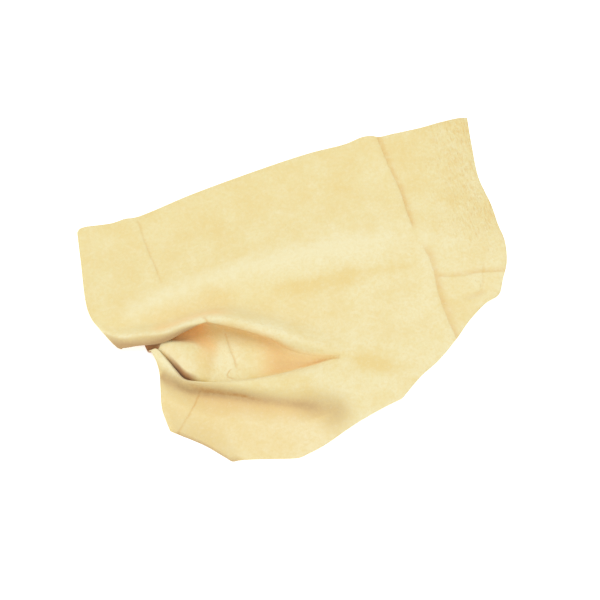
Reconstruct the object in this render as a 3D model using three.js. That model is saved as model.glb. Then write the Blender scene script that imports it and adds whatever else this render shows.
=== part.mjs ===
// A natural chamois skin, laid on a table with one tuck folded into its near left side.
// Millimetres, +Z up: X runs along the skin's longer side, Y away from its near edge.
// The origin is under the middle of the skin, on the table.

import * as THREE from "three";

// Leather
const THICKNESS = 1.2;
const LEATHER_COLOUR = 0xf0dfa6;

// Tuck: the skin rises to a rolled ridge, turns back under it into a pocket,
// and comes up again over a lip before it runs out to the near edge
const RIDGE_HEIGHT = 26;
const RIDGE_ROLL = 9;
const POCKET_REACH = 15;
const POCKET_ROLL = 2.5;
const TONGUE_HEIGHT = 9;
const LIP_HEIGHT = 13;
const LIP_ROLL = 5;
const APRON_RUN = 15;
const FLAP_RUN = 30;

// Places along the tuck, from the left cut edge over the packing crease and the
// tuck's tip to the right cut edge: plan points of the four lines that shape it
const FOOT_PLAN = [
  [-210, -8], [-162, -14], [-118, -6], [-88, 0], [-60, -1],
  [-25, -9], [12, -21], [47, -25], [118, -12], [200, 5],
];
const RIDGE_PLAN = [
  [-195, -39], [-152, -48], [-115, -39], [-88, -32], [-60, -33],
  [-25, -41], [12, -52], [45, -55], [110, -36], [185, -5],
];
const TONGUE_PLAN = [
  [-136, -51], [-124, -53], [-108, -55], [-90, -62], [-60, -67],
  [-25, -68], [12, -70], [45, -72], [103, -65], [149, -52],
];
const LIP_PLAN = [
  [-145, -62], [-130, -70], [-114, -91], [-90, -98], [-60, -96],
  [-25, -92], [12, -87], [45, -84], [95, -80], [136, -68],
];

// How much of each height, roll and reach is left at those places
const FOOT_FADE = [0.03, 0.06, 0.08, 0.09, 0.08, 0.06, 0.03, 0, 0, 0];
const RIDGE_FADE = [0.33, 0.7, 0.93, 1, 0.93, 0.71, 0.38, 0.14, 0.03, 0];
const ROLL_FADE = [0.47, 0.76, 0.78, 0.62, 1, 0.95, 0.55, 0.1, 0, 0];
const REACH_FADE = [0.3, 0.9, 1, 1, 1, 0.75, 0.3, 0, 0, 0];
const TONGUE_FADE = [0.55, 0.9, 1, 0.45, 0.12, 0.05, 0, 0, 0, 0];
const LIP_FADE = [0.93, 0.97, 1, 1, 0.94, 0.84, 0.62, 0.34, 0.1, 0];
const FOLDED = [1, 1, 1, 1, 1, 1, 0.85, 0.15, 0, 0];

// Cut outline where it lies flat, in plan
const FAR_EDGE = [[-226, 81], [-176, 97], [-120, 122], [-8, 171], [72, 200], [128, 211], [178, 224]];
const UPPER_LINE = [[-222, 48], [-60, 100], [75, 140], [187, 143]];
const MIDDLE_LINE = [[-218, 14], [-60, 50], [75, 62], [209, 60]];
const NEAR_EDGE = [
  [-124, -145], [-92, -160], [-64, -176], [-46, -174], [-3, -174], [19, -163], [53, -139], [99, -110],
];

// Where each turned row of the tuck starts on the left cut edge, as a share of the tuck's length
const NOSE_START = 0.034;
const UNDER_START = 0.07;
const POCKET_START = 0.115;
const APRON_START = 0.05;
const FLAP_START = 0.09;

// Facets: columns across the skin and steps between neighbouring rows
const COLUMNS = 21;
const ROW_STEPS = [1, 1, 1, 2, 2, 3, 3, 1, 1, 1, 2, 2, 1, 1, 1, 1, 1, 2];

// Shares that shape the slopes and keep the turns of the tuck apart
const SHOULDER_PLACE = 0.65;
const SHOULDER_HEIGHT = 0.78;
const ROLL_LIMIT = 0.37;
const POCKET_ROLL_LIMIT = 0.45;
const LIP_SIDE_HEIGHT = 0.8;
const WAVE_REACH = 0.5;
const APRON_HEIGHT = 0.3;
const FLAP_HEIGHT = 0.03;

const REST = THICKNESS / 2;

/** A smooth line through plan points, lifted off the table by a height times its fade. */
function rail(plan, height = 0, fade = []) {
  const points = plan.map(([x, y], i) => new THREE.Vector3(x, y, REST + height * (fade[i] ?? 0)));
  return new THREE.CatmullRomCurve3(points, false, "centripetal");
}

/** The value of a list at a share of its length, straight between its entries. */
function valueAt(list, share) {
  const place = THREE.MathUtils.clamp(share, 0, 1) * (list.length - 1);
  const first = Math.min(Math.floor(place), list.length - 2);
  return THREE.MathUtils.lerp(list[first], list[first + 1], place - first);
}

const foot = rail(FOOT_PLAN, RIDGE_HEIGHT, FOOT_FADE);
const ridge = rail(RIDGE_PLAN, RIDGE_HEIGHT, RIDGE_FADE);
const tongue = rail(TONGUE_PLAN, TONGUE_HEIGHT, TONGUE_FADE);
const lip = rail(LIP_PLAN, LIP_HEIGHT, LIP_FADE);
const farEdge = rail(FAR_EDGE);
const upperLine = rail(UPPER_LINE);
const middleLine = rail(MIDDLE_LINE);
const nearEdge = rail(NEAR_EDGE);

/** A point of a row that starts at its own place on the left cut edge. */
function startedAt(start, share) {
  return THREE.MathUtils.lerp(start, 1, share);
}

/** A half cosine that falls from 1 to 0 and stays there. */
function fall(share) {
  return (1 + Math.cos(Math.PI * Math.min(share, 1))) / 2;
}

/** A turned point of the tuck, which opens past the tip into a low wave between two crests. */
function opened(share, folded, from, to, spread) {
  const near = (from.z - REST) * fall(spread / WAVE_REACH);
  const far = (to.z - REST) * fall((1 - spread) / WAVE_REACH);
  return from.clone().lerp(to, spread).setZ(REST + near + far).lerp(folded, valueAt(FOLDED, share));
}

/** The slope between the foot of the ridge and its crest. */
function shoulder(share) {
  const low = foot.getPoint(share);
  const crest = ridge.getPoint(share);
  return low.clone().lerp(crest, SHOULDER_PLACE).setZ(THREE.MathUtils.lerp(low.z, crest.z, SHOULDER_HEIGHT));
}

/** The roll of the ridge at a share of the tuck, kept clear of the table. */
function ridgeRoll(share) {
  const high = ridge.getPoint(share).z - REST;
  return Math.min(RIDGE_ROLL * valueAt(ROLL_FADE, share), ROLL_LIMIT * high);
}

/** A point of the roll or of what hangs from it, by its run and its drop from the ridge's crest. */
function belowRidge(share, spread, run, drop) {
  const crest = ridge.getPoint(share);
  const folded = crest.clone().add(new THREE.Vector3(0, run, -drop));
  return opened(share, folded, crest, lip.getPoint(share), spread);
}

/** The front of the ridge's roll. */
function nose(share) {
  const roll = ridgeRoll(share);
  return belowRidge(share, 0.12, -roll, roll);
}

/** The underside of the ridge's roll. */
function under(share) {
  return belowRidge(share, 0.24, 0, 2 * ridgeRoll(share));
}

/** The turn at the back of the pocket: its upper, rearmost and lower point, from 1 over 0 to -1. */
function pocketTurn(share, spread, side) {
  const high = ridge.getPoint(share).z - REST;
  const roll = Math.min(POCKET_ROLL, POCKET_ROLL_LIMIT * (high - 2 * ridgeRoll(share)));
  const reach = POCKET_REACH * valueAt(REACH_FADE, share) - Math.abs(side) * roll;
  return belowRidge(share, spread, reach, high - roll - side * roll);
}

/** A point behind or before the lip, by its run towards the far edge and its share of the lip's height. */
function besideLip(share, spread, run, heightShare) {
  const crest = lip.getPoint(share);
  const folded = new THREE.Vector3(crest.x, crest.y + run, THREE.MathUtils.lerp(REST, crest.z, heightShare));
  const neighbour = run > 0 ? ridge.getPoint(share) : nearEdge.getPointAt(share);
  return opened(share, folded, crest, neighbour, spread);
}

/** The skin's middle line in one section, from the far edge to the near edge. */
function section(share) {
  return new THREE.CatmullRomCurve3([
    farEdge.getPointAt(share),
    upperLine.getPointAt(share),
    middleLine.getPointAt(share),
    foot.getPoint(share),
    shoulder(share),
    ridge.getPoint(share),
    nose(startedAt(NOSE_START, share)),
    under(startedAt(UNDER_START, share)),
    pocketTurn(startedAt(POCKET_START, share), 0.33, 1),
    pocketTurn(startedAt(POCKET_START, share), 0.41, 0),
    pocketTurn(startedAt(POCKET_START, share), 0.49, -1),
    tongue.getPoint(share),
    besideLip(share, 0.2, LIP_ROLL, 0),
    besideLip(share, 0.1, LIP_ROLL / 2, LIP_SIDE_HEIGHT),
    lip.getPoint(share),
    besideLip(share, 0.1, -LIP_ROLL, LIP_SIDE_HEIGHT),
    besideLip(startedAt(APRON_START, share), 0.3, -APRON_RUN, APRON_HEIGHT),
    besideLip(startedAt(FLAP_START, share), 0.55, -FLAP_RUN, FLAP_HEIGHT),
    nearEdge.getPointAt(share),
  ], false, "centripetal");
}

/** Points of one section, with a set number of steps between its rows, none below the table. */
function sectionPoints(share) {
  const curve = section(share);
  const points = ROW_STEPS.flatMap((steps, row) =>
    Array.from({ length: steps }, (_, step) => curve.getPoint((row + step / steps) / ROW_STEPS.length)));
  points.push(curve.getPoint(1));
  return points.map((point) => point.setZ(Math.max(point.z, REST)));
}

/** The unit normal of a grid of points at one of them, from its neighbours, on the upper side. */
function normalAt(grid, column, row) {
  const before = grid[Math.max(column - 1, 0)][row];
  const after = grid[Math.min(column + 1, grid.length - 1)][row];
  const above = grid[column][Math.max(row - 1, 0)];
  const below = grid[column][Math.min(row + 1, grid[column].length - 1)];
  const along = new THREE.Vector3().subVectors(after, before);
  const across = new THREE.Vector3().subVectors(above, below);
  return along.cross(across).normalize();
}

/** A closed sheet of even thickness around a grid of points of its middle surface. */
function thickSheet(grid, thickness) {
  const columns = grid.length;
  const rows = grid[0].length;
  const positions = [];
  for (const side of [0.5, -0.5]) {
    for (let column = 0; column < columns; column += 1) {
      for (let row = 0; row < rows; row += 1) {
        const offset = normalAt(grid, column, row).multiplyScalar(side * thickness);
        positions.push(...offset.add(grid[column][row]).toArray());
      }
    }
  }

  const top = (column, row) => column * rows + row;
  const bottom = (column, row) => columns * rows + top(column, row);
  const triangles = [];
  const quad = (a, b, c, d) => triangles.push(a, b, c, a, c, d);
  for (let i = 0; i < columns - 1; i += 1) {
    for (let j = 0; j < rows - 1; j += 1) {
      quad(top(i, j), top(i, j + 1), top(i + 1, j + 1), top(i + 1, j));
      quad(bottom(i, j), bottom(i + 1, j), bottom(i + 1, j + 1), bottom(i, j + 1));
    }
    quad(top(i, 0), top(i + 1, 0), bottom(i + 1, 0), bottom(i, 0));
    quad(top(i + 1, rows - 1), top(i, rows - 1), bottom(i, rows - 1), bottom(i + 1, rows - 1));
  }
  for (let j = 0; j < rows - 1; j += 1) {
    quad(top(0, j + 1), top(0, j), bottom(0, j), bottom(0, j + 1));
    quad(top(columns - 1, j), top(columns - 1, j + 1), bottom(columns - 1, j + 1), bottom(columns - 1, j));
  }

  const geometry = new THREE.BufferGeometry();
  geometry.setAttribute("position", new THREE.Float32BufferAttribute(positions, 3));
  geometry.setIndex(triangles);
  geometry.computeVertexNormals();
  return geometry;
}

/** Moves a geometry so that the middle of its underside is at the origin. */
function standOnOrigin(geometry) {
  geometry.computeBoundingBox();
  const middle = geometry.boundingBox.getCenter(new THREE.Vector3());
  return geometry.translate(-middle.x, -middle.y, -geometry.boundingBox.min.z);
}

const grid = Array.from({ length: COLUMNS + 1 }, (_, column) => sectionPoints(column / COLUMNS));
const skin = new THREE.Mesh(
  standOnOrigin(thickSheet(grid, THICKNESS)),
  new THREE.MeshStandardMaterial({ color: LEATHER_COLOUR, roughness: 0.95, metalness: 0 }),
);
skin.name = "chamois_skin";

const chamois = new THREE.Group();
chamois.add(skin);

export default chamois;
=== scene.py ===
"""A natural chamois skin, laid on a pale table with one soft tuck folded into its near left side."""

import logging
from dataclasses import dataclass, field
from enum import Enum
from typing import Any

import bpy
import numpy as np
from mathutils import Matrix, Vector


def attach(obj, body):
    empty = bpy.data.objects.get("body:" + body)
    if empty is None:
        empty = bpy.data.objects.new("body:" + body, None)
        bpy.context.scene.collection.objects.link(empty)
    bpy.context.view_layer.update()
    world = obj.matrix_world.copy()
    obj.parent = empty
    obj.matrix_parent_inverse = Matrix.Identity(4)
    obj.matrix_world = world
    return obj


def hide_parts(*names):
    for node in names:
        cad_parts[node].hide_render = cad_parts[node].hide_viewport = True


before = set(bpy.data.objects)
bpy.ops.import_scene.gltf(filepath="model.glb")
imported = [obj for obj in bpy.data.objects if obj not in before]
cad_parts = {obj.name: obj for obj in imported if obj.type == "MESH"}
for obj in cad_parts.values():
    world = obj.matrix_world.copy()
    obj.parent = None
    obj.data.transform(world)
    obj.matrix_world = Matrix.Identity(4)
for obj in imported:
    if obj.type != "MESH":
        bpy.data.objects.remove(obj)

LOG = logging.getLogger("chamois")
MM = 0.001
SKIN_NODE = "chamois_skin"
PIECE = "chamois_sheet"
SLOT = "chamois_suede"
# Where the origin of the skin's layout lies in the frame, in millimetres
LAYOUT_ORIGIN = (8.5, -23.8)
LEAST_CHORD = 1e-4
LEAST_LENGTH = 1e-9
WHITE = (1.0, 1.0, 1.0, 1.0)

Points = np.ndarray
Numbers = np.ndarray
Plan = tuple[tuple[float, float], ...]
Shares = tuple[float, ...]
Colour = tuple[float, float, float, float]


class Stretch(Enum):
    """Stretches of the skin from its far edge to its near edge, by first and last row of the tuck."""

    PANEL = ("far", "ridge")
    ROLL = ("shoulder", "pocket_back")
    POCKET = ("under", "gap")
    TIP = ("nose", "lip")
    FLAP = ("lip", "near")
    WHOLE = ("far", "near")


class Mark(Enum):
    """What a crease paints on the nap: a fine line of painted shade, or a wide streak: a pale one is painted
    highlight, a warm one and a dull one are painted shade.
    """

    LINE = "line"
    PALE = "pale"
    WARM = "warm"
    DULL = "dull"


# The marks that are wide streaks
STREAKS = tuple(mark for mark in Mark if mark is not Mark.LINE)


class Tint(Enum):
    """Mostly painted shade and painted highlight in parts of the fold, by the name of the mesh's attribute.
    """

    # Tan painted shade in the pocket, trough and valley, with warm bounced light painted in; on the flap the
    # nap's own warmer tint
    TAN = "tan"
    SHADE = "shade"
    # Dark painted shadow in the slit and at the fold's left end
    INSIDE = "inside"
    # Pale painted highlight on crests and lit faces; on the flap only a paler nap
    WORN = "worn"


class Ground(Enum):
    """How the colour varies over the whole skin, by the name of the mesh's attribute."""

    # How deep a point lies in a hollow, used for painted shade in hollows and painted highlight on humps
    HOLLOW = "hollow"
    FIBRE = "fibre"
    # Paler towards the right and the near side
    WEAR = "wear"


class Hue(Enum):
    """The suede's colours, as linear red, green, blue and alpha; several are used for painted shade and
    highlight.
    """

    NAP = (0.795, 0.685, 0.35, 1.0)
    # Paler nap in the mottling and fuzz, and the colour of the painted highlights
    PALE = (0.835, 0.76, 0.47, 1.0)
    # Warmer nap in the mottling and fuzz, and the colour of the warm painted shade streaks
    WARM = (0.78, 0.615, 0.265, 1.0)
    # Tan painted shade in pockets, hollows and the trough, with warm bounced light painted in; a little
    # warms the flap
    DEEP = (0.97, 0.50, 0.15, 1.0)
    # Dull painted shade under the lip, in front of the ridge, along the hem and in the valley's streaks
    DULL = (0.47, 0.295, 0.138, 1.0)
    # Multiplies onto the creases' lines of painted shade and onto the fibre strands
    LINE = (0.88, 0.68, 0.48, 1.0)
    # Dark painted shadow deep in the slit and at the fold's left end
    DARK = (0.36, 0.15, 0.05, 1.0)


class Way(Enum):
    """How a colour goes over another: it covers it, or stains it as their product."""

    COVER = "MIX"
    STAIN = "MULTIPLY"


class Held(Enum):
    """How a sheet is held, in the frame's words."""

    LAID = "laid"


# Curves

def ease(start: float, end: float, value: Numbers) -> Numbers:
    """A smooth step from 0 at start to 1 at end: t * t * (3 - 2 t) of the clamped share t.

    Args:
        start: Value where the step leaves 0.
        end: Value where the step reaches 1.
        value: Values to step.

    Returns:
        The step at each value.
    """
    share = np.clip((value - start) / (end - start), 0.0, 1.0)
    return share * share * (3.0 - 2.0 * share)


def bell(distance: Numbers, width: float) -> Numbers:
    """A bell of height 1: the exponential of minus the square of distance over width."""
    return np.exp(-np.square(distance / width))


def mix(start: Any, end: Any, share: Any) -> Any:
    """A straight mix from start at share 0 to end at share 1."""
    return start + (end - start) * share


def span_curve(control: Points, span: np.ndarray, share: Numbers) -> Points:
    """Centripetal Catmull-Rom: in each span a cubic whose end slopes come from the neighbouring points.

    The knots are spaced by the square root of the distance between control points, which keeps tight
    turns free of loops.

    Args:
        control: Control points, first axis along the curve, last axis the coordinates.
        span: Number of the span of each wanted point.
        share: Share of its span at each wanted point, with axes that fit the control points.

    Returns:
        The points, first axis along the curve.
    """
    first = 2.0 * control[:1] - control[1:2]
    last = 2.0 * control[-1:] - control[-2:-1]
    chain = np.concatenate([first, control, last])
    knot = np.linalg.norm(np.diff(chain, axis=0), axis=-1, keepdims=True)
    knot = np.sqrt(np.maximum(knot, LEAST_CHORD))
    before, here, after = knot[span], knot[span + 1], knot[span + 2]
    a, b, c, d = chain[span], chain[span + 1], chain[span + 2], chain[span + 3]
    slope_b = ((b - a) / before - (c - a) / (before + here) + (c - b) / here) * here
    slope_c = ((c - b) / here - (d - b) / (here + after) + (d - c) / after) * here
    square = share * share
    cube = square * share
    return (
        b * (2.0 * cube - 3.0 * square + 1.0)
        + slope_b * (cube - 2.0 * square + share)
        + c * (3.0 * square - 2.0 * cube)
        + slope_c * (cube - square)
    )


def curve_at(control: Points, share: Numbers) -> Points:
    """Points of a smooth curve at shares of its number of spans.

    Args:
        control: The curve's control points.
        share: Shares, 0 at the curve's start and 1 at its end.

    Returns:
        The points.
    """
    place = np.clip(share, 0.0, 1.0) * (len(control) - 1)
    span = np.minimum(place.astype(int), len(control) - 2)
    return span_curve(control, span, (place - span)[:, None])


def values_at(listed: Shares, share: Numbers) -> Numbers:
    """A list of values as a smooth function of the share along it, never below zero.

    Args:
        listed: The values, at even places.
        share: Shares, 0 at the first value and 1 at the last.

    Returns:
        The function at each share.
    """
    place = np.arange(len(listed), dtype=float)
    control = np.stack([place, np.array(listed)], axis=-1)
    return np.maximum(curve_at(control, share)[:, 1], 0.0)


@dataclass(frozen=True)
class Rail:
    """A smooth line across the skin through plan points, lifted by a height that fades along it."""

    plan: Plan
    height: float = 0.0
    fade: Shares = ()
    samples: int = 2001

    def control(self, rest: float) -> Points:
        """The control points, lifted off the rest height by the rail's height times its fade.

        Args:
            rest: Height of the skin's middle where nothing lifts it.

        Returns:
            The points in millimetres.
        """
        plan = np.array(self.plan, dtype=float)
        lift = self.height * np.array(self.fade) if self.fade else np.zeros(len(plan))
        return np.column_stack([plan, rest + lift])

    def by_place(self, rest: float, share: Numbers) -> Points:
        """Points at shares of the rail's listed places."""
        return curve_at(self.control(rest), share)

    def by_length(self, rest: float, share: Numbers) -> Points:
        """Points at shares of the rail's length, which is summed over the chords of a dense line.

        Args:
            rest: Height of the skin's middle where nothing lifts it.
            share: Shares of the length.

        Returns:
            The points in millimetres.
        """
        dense = np.linspace(0.0, 1.0, self.samples)
        line = curve_at(self.control(rest), dense)
        run = np.concatenate([[0.0], np.cumsum(np.linalg.norm(np.diff(line, axis=0), axis=1))])
        return curve_at(self.control(rest), np.interp(share * run[-1], run, dense))


# The tuck

@dataclass
class Tuck:
    """The skin's folded form: rails across it, and the rows that roll and turn between them.

    Each row in places lies between two others, at a share of the plan and a share of the height
    from the first to the second. A turn side is 1 at the top of the pocket's turn, 0 at its back and
    -1 at its bottom.
    """

    thickness: float = 1.2
    band_height: float = 8.0
    ridge_height: float = 24.4
    ridge_roll: float = 5.5
    pocket_roll: float = 2.5
    tongue_height: float = 11.0
    lip_height: float = 11.8
    flap_height: float = 2.0
    hem_height: float = 2.4
    far_edge: Plan = (
        (-228, 79.5), (-226, 83.5), (-221, 86), (-205, 88.5), (-192, 91), (-180, 96), (-173, 97),
        (-167, 98.5), (-154, 104.5), (-113.5, 125.5), (-31, 162), (11, 178.5), (48, 190), (66, 199),
        (74, 200.5), (83, 199), (98, 203), (128, 211), (150, 218.5), (171, 224), (178, 224),
    )
    upper_line: Plan = ((-222.5, 48), (-60, 100), (75, 140), (187, 143))
    band_plan: Plan = (
        (-211.5, -12), (-191, -19), (-168, -18), (-146, -7), (-122, 5), (-96, 18), (-81, 24), (-58, 32),
        (-22, 43), (14, 52), (48, 60), (76, 66), (100, 70), (150, 74), (204, 75),
    )
    foot_plan: Plan = (
        (-205, -27), (-183, -36), (-156, -32), (-135, -28), (-113, -20), (-93, -13), (-80, -11.5),
        (-63, -11), (-36, -18), (-8, -24), (18, -30), (42, -35), (66, -34), (120, -20), (200, 5),
    )
    ridge_plan: Plan = (
        (-195, -40), (-179, -47), (-155, -49), (-132, -48.5), (-112, -41), (-92, -35.5), (-80, -34.5),
        (-63, -36.5), (-36, -42), (-8, -49), (18, -57), (40, -63), (62, -60), (115, -42), (183, -8),
    )
    pocket_plan: Plan = (
        (-154, -37), (-147, -35), (-137, -33), (-122, -30), (-106, -27), (-90, -28), (-79, -30),
        (-63, -33.5), (-37, -44), (-10, -64), (15.5, -69.5), (37, -67.5), (60, -67), (106, -60), (155, -44),
    )
    tongue_plan: Plan = (
        (-138.5, -49.5), (-133, -51.3), (-125, -53.9), (-115, -56.5), (-104, -59), (-92, -65), (-81, -69),
        (-66, -70), (-37, -70.5), (-10, -72), (15, -71.5), (37, -69), (60, -71.5), (103, -68), (140, -63),
    )
    brink_plan: Plan = (
        (-138.5, -58), (-136, -60.5), (-128.6, -67.7), (-119.1, -79.2), (-109.8, -89), (-97, -91),
        (-86, -91.5), (-70, -90.5), (-38, -85), (-10, -78.5), (14, -73.5), (37, -70), (60, -76), (99, -76),
        (130, -74),
    )
    gap_plan: Plan = (
        (-149, -59.5), (-138.5, -62.5), (-129.7, -69.9), (-120, -81.5), (-110, -91.5), (-96.5, -94),
        (-86, -94.5), (-71, -93.5), (-38, -88.5), (-10, -81), (14, -74.5), (37, -70.5), (60, -77), (98, -78),
        (127, -77),
    )
    lip_plan: Plan = (
        (-146.5, -63.5), (-141, -61.5), (-132, -72.5), (-122.5, -85.5), (-113.5, -96.5), (-98, -99.5),
        (-88, -100), (-72, -99.5), (-38, -95.5), (-8, -91), (16, -88), (40, -87.5), (62, -91), (92, -93),
        (113, -91),
    )
    valley_plan: Plan = (
        (-138, -85), (-134, -90), (-128, -95), (-119, -99), (-109, -102.5), (-95, -105.5), (-84, -107.5),
        (-68, -110), (-36, -115), (-8, -118), (14, -123), (36, -130), (60, -125), (84, -114), (105, -102),
    )
    near_edge: Plan = (
        (-124, -145), (-100, -155.5), (-88, -161.5), (-70, -173), (-64, -176.5), (-58, -175.5),
        (-46, -174.5), (-8, -173.5), (0, -172.5), (8, -168.5), (22, -160.5), (56, -135.5), (80, -120.5),
        (99, -110),
    )
    column_places: Shares = (
        0, 0.05, 0.11, 0.17, 0.23, 0.29, 0.325, 0.38, 0.47, 0.55, 0.62, 0.68, 0.75, 0.88, 1,
    )
    band_fade: Shares = (0.6, 0.75, 0.8, 0.8, 0.8, 0.78, 0.76, 0.75, 0.72, 0.7, 0.66, 0.62, 0.56, 0.4, 0.2)
    foot_fade: Shares = (0.24, 0.24, 0.23, 0.22, 0.21, 0.2, 0.2, 0.21, 0.21, 0.2, 0.18, 0.16, 0.14, 0.08, 0)
    ridge_fade: Shares = (0.26, 0.36, 0.63, 0.78, 0.92, 1, 0.98, 0.92, 0.77, 0.57, 0.39, 0.28, 0.23, 0.12, 0)
    pocket_fade: Shares = (0, 0, 0, 0, 0, 0, 0, 0, 0, 0, 0.06, 0.25, 0.2, 0.1, 0)
    roll_fade: Shares = (2, 2.1, 1.5, 1.2, 0.9, 0.45, 0.75, 0.95, 0.95, 0.6, 0.25, 0.1, 0, 0, 0)
    overhang: Shares = (1, 1, 1, 1, 1, 0.9, 0.6, 0.25, 0.08, 0, 0, 0, 0, 0, 0)
    tongue_fade: Shares = (0.74, 0.86, 0.97, 1.02, 0.95, 0.68, 0.12, 0.04, 0, 0, 0.12, 0.58, 0.45, 0.2, 0)
    brink_fade: Shares = (0.68, 0.75, 0.85, 0.85, 0.75, 0.4, 0.08, 0, 0, 0, 0.12, 0.58, 0.45, 0.2, 0)
    gap_fade: Shares = (0.03, 0.08, 0.08, 0.06, 0.03, 0, 0, 0, 0, 0, 0.12, 0.55, 0.42, 0.2, 0)
    lip_fade: Shares = (0.75, 0.93, 0.98, 1, 1, 1, 1, 0.97, 0.86, 0.75, 0.68, 0.6, 0.42, 0.22, 0.05)
    valley_fade: Shares = (0.28, 0.18, 0.07, 0.03, 0, 0, 0, 0, 0, 0, 0, 0.02, 0.05, 0.05, 0)
    flap_fade: Shares = (0.7, 0.8, 0.9, 1, 1, 1, 1, 1, 1, 0.8, 0.4, 0.2, 0.2, 0.1, 0)
    hem_fade: Shares = (0.5, 0.8, 1, 1, 1, 1, 0.85, 0.5, 0.2, 0.2, 0.1, 0, 0, 0, 0)
    places: dict[str, tuple[float, float]] = field(default_factory=lambda: {
        "shoulder": (0.6, 0.66),
        "nose": (0.3, 0.34),
        "under": (0.65, 0.68),
        "pocket_top": (0.82, 0.85),
        "pocket_back": (0.94, 0.94),
        "pocket_low": (1.0, 1.0),
        "tongue_back": (0.6, 0.3),
        "lip_front": (0.36, 0.24),
        "lip_low": (0.7, 0.8),
        "lip_back": (0.62, 0.35),
        "flap": (0.4, 1.0),
        "hem": (0.94, 1.0),
    })
    turn_sides: dict[str, int] = field(default_factory=lambda: {
        "pocket_top": 1, "pocket_back": 0, "pocket_low": -1,
    })
    nose_start: float = 0.085
    under_start: float = 0.1
    under_drop: float = 1.2
    roll_limit: float = 0.42
    turn_limit: float = 0.22
    turn_room: float = 0.3
    # How the pocket's floor is drawn out at the left cut edge, and how far across the skin that reaches
    floor_slack: tuple[float, float, float] = (-14.5, 9.0, -7.3)
    floor_slack_end: float = 0.014

    @property
    def rest(self) -> float:
        """Height of the skin's middle where it lies on the table."""
        return self.thickness / 2.0

    def line(self, name: str, share: Numbers, height: float = 0.0) -> Points:
        """Points of the named rail at shares of its places, lifted by its height and fade."""
        fade = getattr(self, f"{name}_fade", ())
        return Rail(getattr(self, f"{name}_plan"), height, fade).by_place(self.rest, share)

    def edge(self, plan: Plan, share: Numbers) -> Points:
        """Points of a flat line at the column places, by length."""
        return Rail(plan).by_length(self.rest, np.clip(values_at(self.column_places, share), 0.0, 1.0))

    @staticmethod
    def lift(height: float, fade: Shares, share: Numbers) -> Points:
        """An upward move by a height and its fade."""
        return np.outer(height * values_at(fade, share), (0.0, 0.0, 1.0))

    def between(self, name: str, start: Points, end: Points) -> Points:
        """The named row between two others, at its shares of the plan and of the height.

        Args:
            name: The row's name.
            start: Points where the shares are 0.
            end: Points where the shares are 1.

        Returns:
            The row's points.
        """
        place, height = self.places[name]
        row = mix(start, end, place)
        row[:, 2] = mix(start[:, 2], end[:, 2], height)
        return row

    def ridge(self, share: Numbers) -> Points:
        """The crest of the ridge."""
        return self.line("ridge", share, self.ridge_height)

    def roll(self, share: Numbers) -> Numbers:
        """How far the ridge's roll stands out in front of its crest."""
        return self.ridge_roll * values_at(self.roll_fade, share)

    def roll_drop(self, share: Numbers) -> Numbers:
        """How far the front of the ridge's roll lies below its crest, kept clear of the table."""
        high = self.ridge(share)[:, 2] - self.rest
        return np.minimum(self.roll(share), self.roll_limit * high)

    def over(self, share: Numbers) -> Numbers:
        """How far the ridge hangs over, from 0 to 1, as a column."""
        return np.clip(values_at(self.overhang, share), 0.0, 1.0)[:, None]

    def below_ridge(self, name: str, share: Numbers, out: Numbers, drop: Numbers) -> Points:
        """A row under the ridge's crest: on its roll where it hangs over, on a slope elsewhere.

        Args:
            name: The row's name.
            share: Shares across the skin.
            out: How far the row stands out in front of the crest.
            drop: How far it lies below the crest where the ridge hangs over.

        Returns:
            The row's points.
        """
        crest = self.ridge(share)
        slope = self.between(name, crest, self.line("pocket", share, self.ridge_height))
        hung = crest.copy()
        hung[:, 2] -= drop
        row = mix(slope, hung, self.over(share))
        row[:, 1] -= out
        return row

    def pocket_turn(self, name: str, share: Numbers) -> Points:
        """A row of the turn at the back of the pocket.

        Under the overhang the turn is a half round. Its back lies one radius over the pocket's line, and
        its top and bottom lie one radius in front of that, two radii over the line and on it. Elsewhere
        it is the foot of the ridge's slope.

        Args:
            name: The row's name.
            share: Shares across the skin.

        Returns:
            The row's points.
        """
        side = self.turn_sides[name]
        crest = self.ridge(share)
        pocket = self.line("pocket", share, self.ridge_height)
        high = np.maximum(crest[:, 2] - pocket[:, 2], 0.0)
        floor = np.maximum(pocket[:, 1] - self.line("tongue", share)[:, 1], 0.0)
        radius = np.minimum(self.pocket_roll, np.minimum(self.turn_limit * high, self.turn_room * floor))
        turned = pocket.copy()
        turned[:, 1] -= abs(side) * radius
        turned[:, 2] += (1 + side) * radius
        slope = self.between(name, crest, pocket)
        if side < 0:
            slope[:, 1] -= radius
        return mix(slope, turned, self.over(share))

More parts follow.
